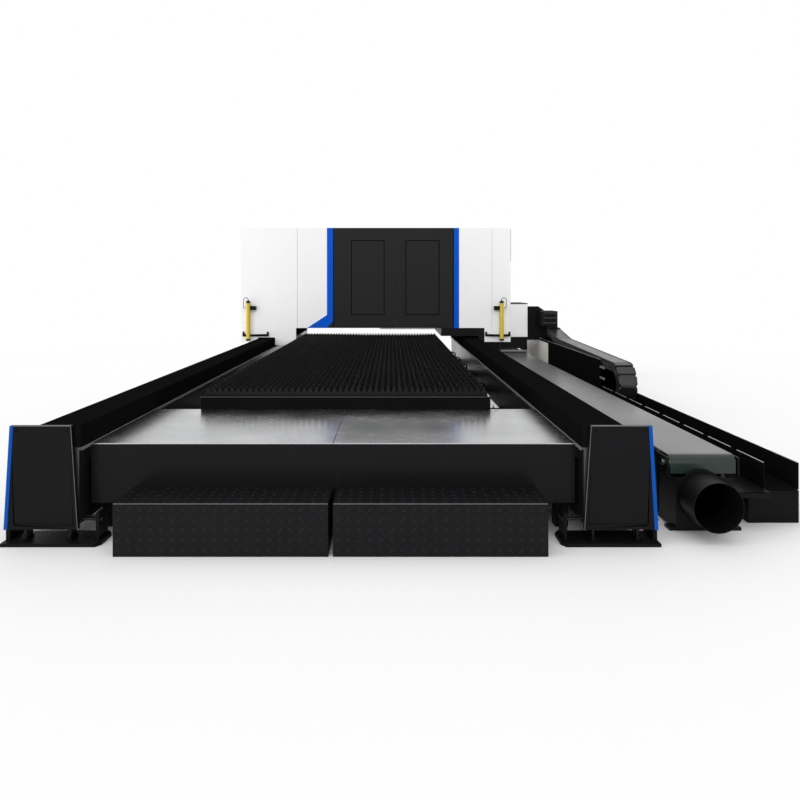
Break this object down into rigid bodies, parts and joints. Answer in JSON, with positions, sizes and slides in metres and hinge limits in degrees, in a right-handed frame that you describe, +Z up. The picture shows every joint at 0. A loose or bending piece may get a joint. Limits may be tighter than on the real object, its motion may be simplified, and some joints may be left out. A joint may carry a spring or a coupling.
{
  "type": "laser cutting machine",
  "caption": "Ground-rail laser cutter: a gantry cabin on two rail beams runs over a sawtooth slat table, with a belt-covered extraction trough and a cable chain along one side.",
  "frame": {"origin": "bottom centre of the box round the whole machine, on the floor", "axes": "+Y along the rails from the deck towards the gantry's parked place, +X towards the extraction trough and the cable chain, +Z up"},
  "size_m": [4.909, 9.07, 2.4],
  "materials": {
    "black_paint": "gloss",
    "white_paint": "satin",
    "blue_paint": "satin",
    "yellow_paint": "satin",
    "dark_grey_paint": "satin",
    "grey_paint": "satin",
    "bare_steel": "machined",
    "deck_steel": "polished",
    "slat_steel": "cut edges, dull",
    "cast_grey": "painted",
    "belt_rubber": "smooth",
    "chain_plastic": "moulded",
    "cable_sheath": "matt"
  },
  "bodies": {
    "base": {"rail_beam_left": "black_paint", "rail_beam_right": "black_paint", "guide_rails": "bare_steel", "gear_racks": "bare_steel", "rail_cover_left": "black_paint", "rail_cover_right": "black_paint", "front_end_caps": "black_paint", "rear_end_caps": "black_paint", "cap_trims": "blue_paint", "feet": "black_paint", "jack_bolts": "bare_steel", "deck_plates": "deck_steel", "deck_frame": "black_paint", "deck_front_panel": "dark_grey_paint", "table_frame": "black_paint", "slats": "slat_steel", "slag_trays": "dark_grey_paint", "bed_frame": "black_paint", "air_pipes": "black_paint", "step_left": "dark_grey_paint", "step_right": "dark_grey_paint", "duct_trough": "black_paint", "outlet_collar": "black_paint", "belt": "belt_rubber", "belt_end_rollers": "bare_steel", "belt_brackets": "black_paint", "chain_trough_low": "black_paint", "chain_trough_high": "black_paint", "trough_panel": "grey_paint", "trough_stands": "black_paint", "chain_lower": "chain_plastic"},
    "gantry": {"end_trucks": "black_paint", "cross_beam": "white_paint", "bearing_blocks": "bare_steel", "drive_motors": "cast_grey", "left_leg_cover": "white_paint", "left_front_panel": "white_paint", "right_front_panel": "white_paint", "right_leg_cover": "white_paint", "right_lower_panel": "black_paint", "door_trims": "blue_paint", "door_frame": "dark_grey_paint", "roof_panel": "white_paint", "rear_panel": "white_paint", "curtain_posts": "yellow_paint", "curtain_brackets": "black_paint", "curtain_cables": "cable_sheath", "side_cabinet": "white_paint", "chain_bracket": "black_paint", "suction_hood": "black_paint", "chain_upper": "chain_plastic"},
    "door_left": {"door_left": "dark_grey_paint"},
    "door_right": {"door_right": "dark_grey_paint"},
    "head_carriage": {"head_carriage": "dark_grey_paint"},
    "cutting_head": {"cutting_head": "bare_steel"},
    "pinion_left": {"pinion_left": "bare_steel"},
    "pinion_right": {"pinion_right": "bare_steel"},
    "hood_roller_front": {"hood_roller_front": "bare_steel"},
    "hood_roller_rear": {"hood_roller_rear": "bare_steel"},
    "chain_loop": {"chain_loop": "chain_plastic"}
  },
  "joints": [
    {"name": "gantry_slide", "type": "slide", "parent": "base", "child": "gantry", "axis": [0, 1, 0], "range_m": [-5.2, 0], "deforming": ["chain_upper"]},
    {"name": "carriage_slide", "type": "slide", "parent": "gantry", "child": "head_carriage", "axis": [1, 0, 0], "range_m": [-1.05, 1.05]},
    {"name": "head_lift", "type": "slide", "parent": "head_carriage", "child": "cutting_head", "axis": [0, 0, 1], "range_m": [-0.09, 0.2]},
    {"name": "door_left_hinge", "type": "hinge", "parent": "gantry", "child": "door_left", "pos_m": [-1.0045, 2.355, 1.6], "axis": [0, 0, -1], "range_deg": [0, 90]},
    {"name": "door_right_hinge", "type": "hinge", "parent": "gantry", "child": "door_right", "pos_m": [0.8255, 2.355, 1.6], "axis": [0, 0, 1], "range_deg": [0, 90]},
    {"name": "pinion_left_spin", "type": "hinge", "parent": "gantry", "child": "pinion_left", "pos_m": [-2.274, 2.635, 0.6], "axis": [0, 0, -1], "continuous": true},
    {"name": "pinion_right_spin", "type": "hinge", "parent": "gantry", "child": "pinion_right", "pos_m": [1.323, 2.635, 0.6], "axis": [0, 0, 1], "continuous": true},
    {"name": "hood_roller_front_spin", "type": "hinge", "parent": "gantry", "child": "hood_roller_front", "pos_m": [1.7845, 2.42, 0.4853], "axis": [-1, 0, 0], "continuous": true},
    {"name": "hood_roller_rear_spin", "type": "hinge", "parent": "gantry", "child": "hood_roller_rear", "pos_m": [1.7845, 3.27, 0.4853], "axis": [-1, 0, 0], "continuous": true},
    {"name": "chain_loop_slide", "type": "slide", "parent": "base", "child": "chain_loop", "axis": [0, 1, 0], "range_m": [-2.6, 0], "deforming": ["chain_lower"]}
  ],
  "couplings": [
    {"joint": "pinion_left_spin", "follows": "gantry_slide", "rad_per_m": 25.974},
    {"joint": "pinion_right_spin", "follows": "gantry_slide", "rad_per_m": 25.974},
    {"joint": "hood_roller_front_spin", "follows": "gantry_slide", "rad_per_m": 40},
    {"joint": "hood_roller_rear_spin", "follows": "gantry_slide", "rad_per_m": 40},
    {"joint": "chain_loop_slide", "follows": "gantry_slide", "ratio": 0.5}
  ]
}
